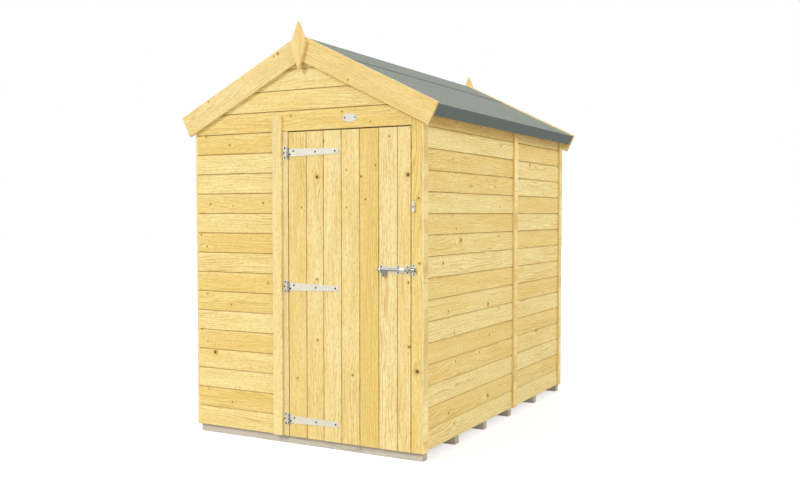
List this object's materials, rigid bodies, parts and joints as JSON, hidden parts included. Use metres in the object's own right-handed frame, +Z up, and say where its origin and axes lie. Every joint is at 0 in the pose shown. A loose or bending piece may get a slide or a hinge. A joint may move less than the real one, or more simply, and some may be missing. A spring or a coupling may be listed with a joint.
{
  "type": "garden shed",
  "caption": "Apex garden shed of horizontal boards on bearers, with a felted roof, bargeboards, finials and a braced door that is hinged, bolted and held by a turn button.",
  "frame": {"origin": "centre of the footprint on the ground", "axes": "+X to the right seen from the front, +Y from the front to the rear, +Z up; the door is in the front, which faces -Y"},
  "size_m": [1.629, 2.224, 2.2677],
  "materials": {
    "wall_timber": "planed softwood boards, pale yellow",
    "trim_timber": "planed softwood, paler",
    "frame_timber": "sawn softwood",
    "floor_timber": "planed softwood",
    "roof_timber": "sawn softwood",
    "bearer_timber": "sawn softwood, greyed",
    "roofing_felt": "mineral-faced bitumen felt, green-grey",
    "galvanised_steel": "galvanised, dull",
    "plate_metal": "bare sheet, satin"
  },
  "bodies": {
    "shed": {"bargeboards_left": "trim_timber", "bargeboards_right": "trim_timber", "bearers": "bearer_timber", "bolt_keep": "galvanised_steel", "door_stop": "frame_timber", "eave_rails": "frame_timber", "felt_edges": "roofing_felt", "finials": "trim_timber", "floor_boards": "floor_timber", "front_cover_strip": "trim_timber", "front_frame_rails": "frame_timber", "front_frame_studs": "frame_timber", "front_gable": "wall_timber", "front_wall_left": "wall_timber", "hinge_board": "wall_timber", "hinge_butts": "galvanised_steel", "jamb_board": "wall_timber", "keep_staple": "galvanised_steel", "left_wall_front": "wall_timber", "left_wall_rear": "wall_timber", "oval_plate": "plate_metal", "purlins": "frame_timber", "rear_frame_rails": "frame_timber", "rear_frame_studs": "frame_timber", "rear_wall": "wall_timber", "ridge_beam": "frame_timber", "ridge_felt_left": "roofing_felt", "ridge_felt_right": "roofing_felt", "right_wall_front": "wall_timber", "right_wall_rear": "wall_timber", "roof_boards_left": "roof_timber", "roof_boards_right": "roof_timber", "roof_felt_left": "roofing_felt", "roof_felt_right": "roofing_felt", "side_cover_strips": "trim_timber", "side_frame_rails": "frame_timber", "side_frame_studs": "frame_timber"},
    "door": {"door_leaf": "wall_timber", "door_ledges": "frame_timber", "door_braces": "frame_timber", "hinge_straps": "galvanised_steel", "bolt_plate": "galvanised_steel"},
    "bolt": {"bolt_rod": "galvanised_steel", "bolt_hasp": "galvanised_steel"},
    "button": {"turn_button": "galvanised_steel"}
  },
  "joints": [
    {"name": "door_hinge", "type": "hinge", "parent": "shed", "child": "door", "pos_m": [-0.0895, -1.0845, 0], "axis": [0, 0, -1], "range_deg": [0, 155]},
    {"name": "bolt_slide", "type": "slide", "parent": "door", "child": "bolt", "axis": [-1, 0, 0], "range_m": [-0.034, 0]},
    {"name": "button_turn", "type": "hinge", "parent": "shed", "child": "button", "pos_m": [0.672, -1.084, 1.287], "axis": [0, -1, 0], "range_deg": [-90, 0]}
  ]
}
